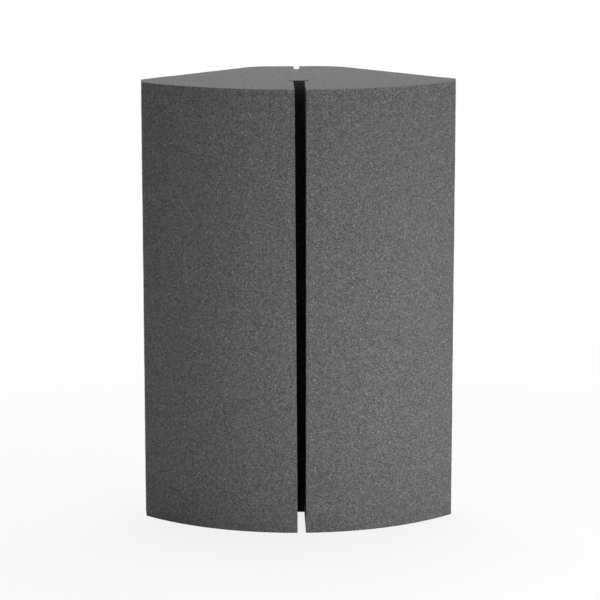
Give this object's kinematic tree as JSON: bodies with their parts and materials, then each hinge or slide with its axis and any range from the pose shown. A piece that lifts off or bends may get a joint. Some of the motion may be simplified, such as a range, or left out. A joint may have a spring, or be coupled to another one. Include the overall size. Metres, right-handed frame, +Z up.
{
  "type": "corner bass trap",
  "caption": "Upright wedge of open-cell acoustic foam for a room corner, with a round front, a relief slot in it and a web that flexes to suit the corner's angle.",
  "frame": {"origin": "on the floor under the middle of the block's bounding box", "axes": "+Z up, -Y out of the round front into the room, +Y into the corner, +X to the right as seen from the front"},
  "size_m": [0.4242, 0.2738, 0.6],
  "materials": {
    "acoustic_foam": "matte"
  },
  "bodies": {
    "hinge_web": {"hinge_web": "acoustic_foam"},
    "left_wing": {"left_wing": "acoustic_foam"},
    "right_wing": {"right_wing": "acoustic_foam"}
  },
  "joints": [
    {"name": "left_wing_flex", "type": "hinge", "parent": "hinge_web", "child": "left_wing", "pos_m": [0, 0.03325, 0], "axis": [0, 0, -1], "range_deg": [-1.8, 2], "stiffness_Nm_per_rad": 100, "deforming": ["hinge_web"]},
    {"name": "right_wing_flex", "type": "hinge", "parent": "hinge_web", "child": "right_wing", "pos_m": [0, 0.03325, 0], "axis": [0, 0, 1], "range_deg": [-1.8, 2], "stiffness_Nm_per_rad": 100, "deforming": ["hinge_web"]}
  ]
}
